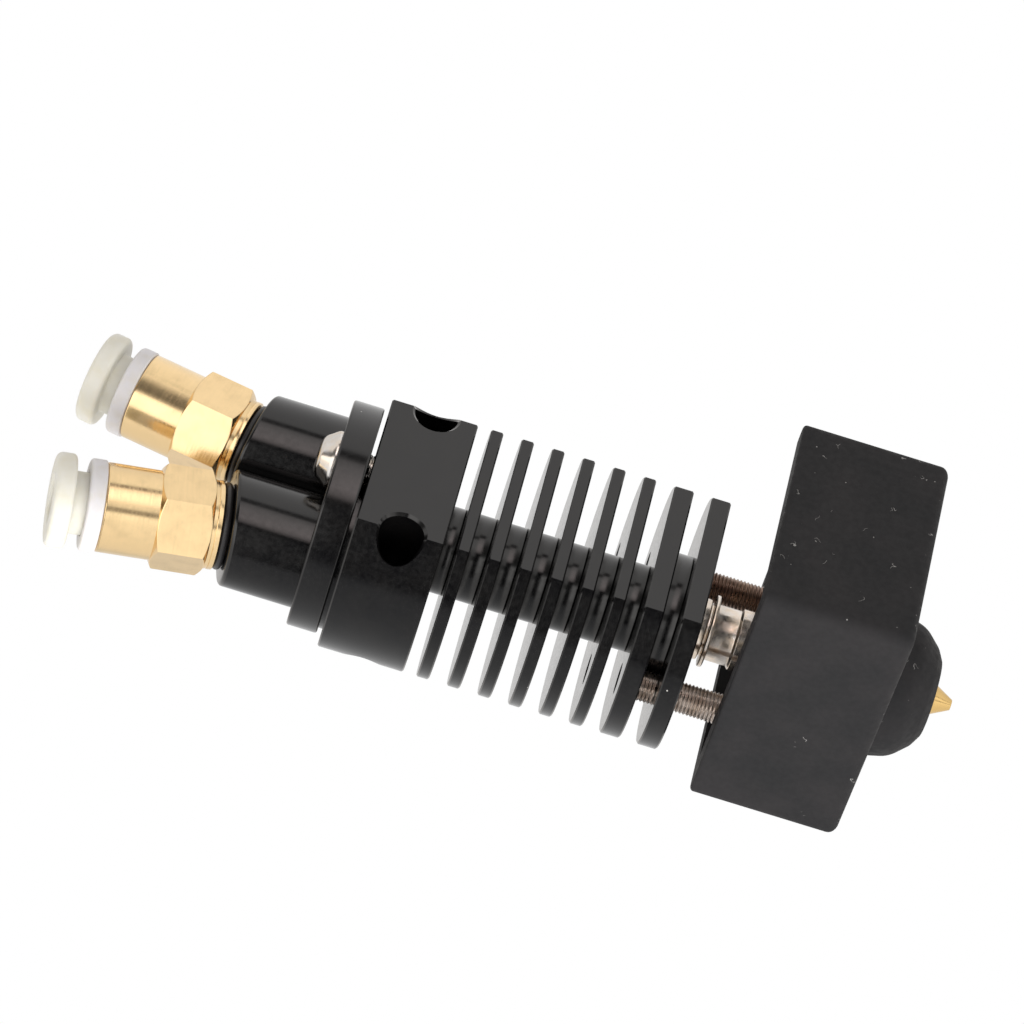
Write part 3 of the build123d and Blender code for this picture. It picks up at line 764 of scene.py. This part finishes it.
def build_sock(look):
    """Soft sleeve over the block: a rounded box with a lip above, low at the wires' side, and a snout."""
    low, high = Vector(SOCK_LOW), Vector(SOCK_HIGH)
    top = high.z
    corner = 1.2
    outer = rounded([
        (SOCK_WALL + SOCK_LIP, top), (0, top, 0.35), (0, SOCK_FLOOR, 0.9), (3.4, SOCK_FLOOR),
    ], steps=6)
    walls = []
    for i, (inset, z) in enumerate(outer):
        walls.append((inset, z))
        if i + 1 < len(outer) and abs(outer[i + 1][1] - z) > 4:
            walls += [(inset, z + (outer[i + 1][1] - z) * k / 8) for k in range(1, 8)]
    rings = [sock_loop(inset, corner - 0.6 * inset, z, low, high) for inset, z in walls]
    angles = [math.atan2(y, x) for x, y, z in rings[0]]
    snout = rounded([
        (7.1, SOCK_FLOOR), (6.9, SOCK_FLOOR - 0.5, 0.4), (6.35, 4.3, 3.0), (4.8, 2.65, 1.6),
        (3.7, low.z, 0.6),
        (1.7, low.z, 0.1), (2.1, 2.8), (3.3, 2.8), (4.9, 4.2), (5.6, 8.2),
    ], steps=5)
    rings += [ring(r, z, angles) for r, z in snout]
    inner_low = BLOCK_LOW - Vector((0.1, 0.1, 0.1))
    inner_high = BLOCK_HIGH + Vector((0.1, 0.1, 0.1))
    rings.append(sock_loop(0, 0.4, inner_low.z, inner_low, inner_high))
    rings.append(sock_loop(0, 0.4, inner_high.z, inner_low, inner_high))
    rings.append(sock_loop(SOCK_LIP, 1.2, inner_high.z, inner_low, inner_high))
    sock = skin("sock_body", rings)
    low_side = slab(
        (inner_high.x - SOCK_LIP - 0.05, inner_low.y + SOCK_LIP, BLOCK_HIGH.z),
        (high.x + 1, high.y + 1, top + 1),
    )
    combine(sock, [low_side], "DIFFERENCE")
    return dress(sock, look, "silicone", "hotend", "silicone_sock", sharp=50)


# ---- camera and lights --------------------------------------------------
CAMERA_AZIMUTH = -44.67
CAMERA_ELEVATION = 1.51
CAMERA_ROLL = -72.93
CAMERA_DISTANCE = 540.0
CAMERA_TARGET = Vector((3.71, -3.73, 44.8))
CAMERA_LENS = 202.25

# the studio's light by degrees of turn up from the camera, about the hotend's axis
WORLD_PEAK = 2.6
WORLD_BELT_LEAN = -0.02
WORLD_WALL_LEAN = (0.06, 0.1)
WORLD_BELT = [
    (-180, (0.9, 0.9, 0.9)), (-120, (0.6, 0.6, 0.6)), (-60, (0.37, 0.37, 0.38)), (-52, (0.31, 0.31, 0.32)),
    (-44, (0.02, 0.02, 0.025)), (16, (0.02, 0.02, 0.025)), (20, (1.5, 1.32, 1.28)), (28, (2.5, 2.2, 2.15)),
    (44, (2.1, 1.9, 1.85)), (57, (1.4, 1.3, 1.27)), (61, (0.15, 0.14, 0.14)), (67, (0.15, 0.14, 0.14)),
    (71, (1.05, 1.02, 1.0)), (120, (1.05, 1.03, 1.02)), (180, (0.9, 0.9, 0.9)),
]
WORLD_WALL_TINT = (1.0, 0.975, 0.95)
WORLD_UPPER_WALL = [
    (-180, 0.8), (-90, 0.9), (-60, 1.1), (-35, 1.3), (-25, 1.8), (7, 1.8), (13, 0.3), (22, 0.12), (40, 0.2),
    (52, 0.6), (60, 1.0), (120, 0.85), (180, 0.8),
]
WORLD_LOWER_WALL = [
    (-180, 0.8), (-90, 0.95), (-30, 1.1), (-12, 1.35), (-8, 1.3), (-3, 0.25), (5, 0.25), (9, 1.0), (20, 1.05),
    (30, 1.35), (50, 1.2), (55, 0.3), (60, 0.3), (64, 1.0), (120, 0.85), (180, 0.8),
]


def build_camera():
    a, e = math.radians(CAMERA_AZIMUTH), math.radians(CAMERA_ELEVATION)
    back = Vector((math.sin(a) * math.cos(e), -math.cos(a) * math.cos(e), math.sin(e)))
    data = bpy.data.cameras.new("camera")
    data.lens = CAMERA_LENS
    data.sensor_width = 36.0
    data.clip_start = 0.01
    data.clip_end = 10.0
    camera = bpy.data.objects.new("camera", data)
    bpy.context.scene.collection.objects.link(camera)
    upright = (-back).to_track_quat("-Z", "Y")
    rolled = upright.to_matrix() @ Matrix.Rotation(math.radians(CAMERA_ROLL), 3, "Z")
    camera.matrix_world = Matrix.Translation((CAMERA_TARGET + back * CAMERA_DISTANCE) * MM) @ rolled.to_4x4()
    bpy.context.scene.camera = camera
    return rolled


def build_world():
    """White studio: dark behind the camera, a warm softbox over it and a bright wall at each end.

    Directions are told apart by their turn about the hotend's axis, up from the camera, and by
    how far they lean along that axis.
    """
    world = bpy.data.worlds.new("studio")
    bpy.context.scene.world = world
    world.use_nodes = True
    nodes, links = world.node_tree.nodes, world.node_tree.links
    azimuth = math.radians(CAMERA_AZIMUTH)
    toward = Vector((math.sin(azimuth), -math.cos(azimuth), 0))
    over = Vector((0, 0, 1)).cross(toward)
    direction = nodes.new("ShaderNodeTexCoord").outputs["Generated"]

    def add(kind, inputs, output=0, **settings):
        node = nodes.new(kind)
        for key, value in settings.items():
            setattr(node, key, value)
        for key, value in inputs.items():
            if isinstance(value, bpy.types.NodeSocket):
                links.new(value, node.inputs[key])
            else:
                node.inputs[key].default_value = value
        return node.outputs[output]

    def facing(vector):
        return add("ShaderNodeVectorMath", {0: direction, 1: vector}, "Value", operation="DOT_PRODUCT")

    def mapped(value, low, high):
        return add("ShaderNodeMapRange", {"Value": value, "From Min": low, "From Max": high})

    def banded(value, stops):
        node = nodes.new("ShaderNodeValToRGB")
        links.new(value, node.inputs[0])
        bar = node.color_ramp
        while len(bar.elements) < len(stops):
            bar.elements.new(0.5)
        for element, (degrees, color) in zip(bar.elements, stops):
            element.position = (degrees + 180) / 360
            element.color = (*(level / WORLD_PEAK for level in color), 1)
        return node.outputs[0]

    def wall(stops):
        return banded(around, [(degrees, [level * c for c in WORLD_WALL_TINT]) for degrees, level in stops])

    def mixed(amount, a, b):
        node = nodes.new("ShaderNodeMix")
        node.data_type = "RGBA"
        for index, value in ((0, amount), (6, a), (7, b)):
            links.new(value, node.inputs[index])
        return node.outputs[2]

    turn = add("ShaderNodeMath", {0: facing(over), 1: facing(toward)}, operation="ARCTAN2")
    around = mapped(turn, -math.pi, math.pi)
    along = facing(Vector((0, 0, 1)))
    upward = mapped(along, -0.02, 0.02)
    walls = mixed(upward, wall(WORLD_LOWER_WALL), wall(WORLD_UPPER_WALL))
    offset = add("ShaderNodeMath", {0: along, 1: WORLD_BELT_LEAN}, operation="SUBTRACT")
    lean = add("ShaderNodeMath", {0: offset}, operation="ABSOLUTE")
    surround = mixed(mapped(lean, *WORLD_WALL_LEAN), banded(around, WORLD_BELT), walls)
    background = nodes["Background"]
    links.new(surround, background.inputs["Color"])
    background.inputs["Strength"].default_value = WORLD_PEAK
    white = nodes.new("ShaderNodeBackground")
    white.inputs["Color"].default_value = (1, 1, 1, 1)
    seen = nodes.new("ShaderNodeLightPath").outputs["Is Camera Ray"]
    pick = add("ShaderNodeMixShader", {0: seen, 1: background.outputs[0], 2: white.outputs[0]})
    links.new(pick, nodes["World Output"].inputs["Surface"])


def build_light(name, axes, aim, distance, size, power):
    """Softbox placed by (right, up, back) in the camera's view, aimed at the hotend."""
    data = bpy.data.lights.new(name, "AREA")
    data.shape = "RECTANGLE"
    data.size, data.size_y = size
    data.energy = power
    lamp = bpy.data.objects.new(name, data)
    bpy.context.scene.collection.objects.link(lamp)
    out = (axes @ Vector(aim)).normalized()
    lamp.location = CAMERA_TARGET * MM + out * distance
    lamp.rotation_mode = "QUATERNION"
    lamp.rotation_quaternion = out.to_track_quat("Z", "Y")
    return lamp


# ---- the whole ----------------------------------------------------------
def build():
    black = black_anodised()
    build_heatsink(black)
    build_manifold(black)
    build_manifold_screws(steel("screw_steel", (0.72, 0.7, 0.68), 0.16))
    build_standoff_screws(threaded_steel())
    coupler_looks = {
        "brass": brass("coupler_brass", (0.9, 0.67, 0.37), 0.002),
        "insert": white_plastic("insert_plastic", (0.63, 0.62, 0.64)),
        "collet": white_plastic("collet_plastic", (0.68, 0.67, 0.61)),
    }
    for letter, side in (("a", 1), ("b", -1)):
        build_coupler(letter, side, coupler_looks)
    build_heat_break(steel("polished_steel", (0.78, 0.72, 0.66), 0.2, lines=20.0, depth=0.0008))
    build_nozzle(brass("nozzle_brass", (0.8, 0.55, 0.22), 0.001))
    build_sock(silicone())
    inner = {
        "ptfe_liner": plain("ptfe", (0.85, 0.85, 0.84), 0.5),
        "heater_block": plain("block_metal", (0.55, 0.55, 0.55), 0.35, 1.0, grain=3.0),
        "heater_cartridge": plain("cartridge_steel", (0.5, 0.5, 0.5), 0.4, 1.0),
        "thermistor_cartridge": plain("sensor_steel", (0.55, 0.55, 0.54), 0.35, 1.0),
        "heater_clamp_screw": plain("clamp_steel", (0.2, 0.2, 0.2), 0.4, 1.0),
        "thermistor_clamp_screw": plain("small_clamp_steel", (0.25, 0.25, 0.25), 0.4, 1.0),
    }
    for letter in "ab":
        inner[f"face_seal_{letter}"] = plain(f"face_seal_rubber_{letter}", (0.012, 0.011, 0.012), 0.35)
        inner[f"tube_seal_{letter}"] = plain(f"seal_rubber_{letter}", (0.02, 0.02, 0.02), 0.5)
        inner[f"grip_ring_{letter}"] = plain(f"spring_steel_{letter}", (0.6, 0.6, 0.6), 0.25, 1.0)
    for node, look in inner.items():
        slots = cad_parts[node].data.materials
        slots.clear()
        slots.append(look)
    axes = build_camera()
    build_world()
    fill = build_light("low_fill", axes, (0.0, -0.8, 0.6), 0.6, (0.5, 0.4), 4.0)
    fill.visible_glossy = False
    settings = bpy.context.scene.view_settings
    settings.view_transform = "Standard"
    settings.look = "None"


build()
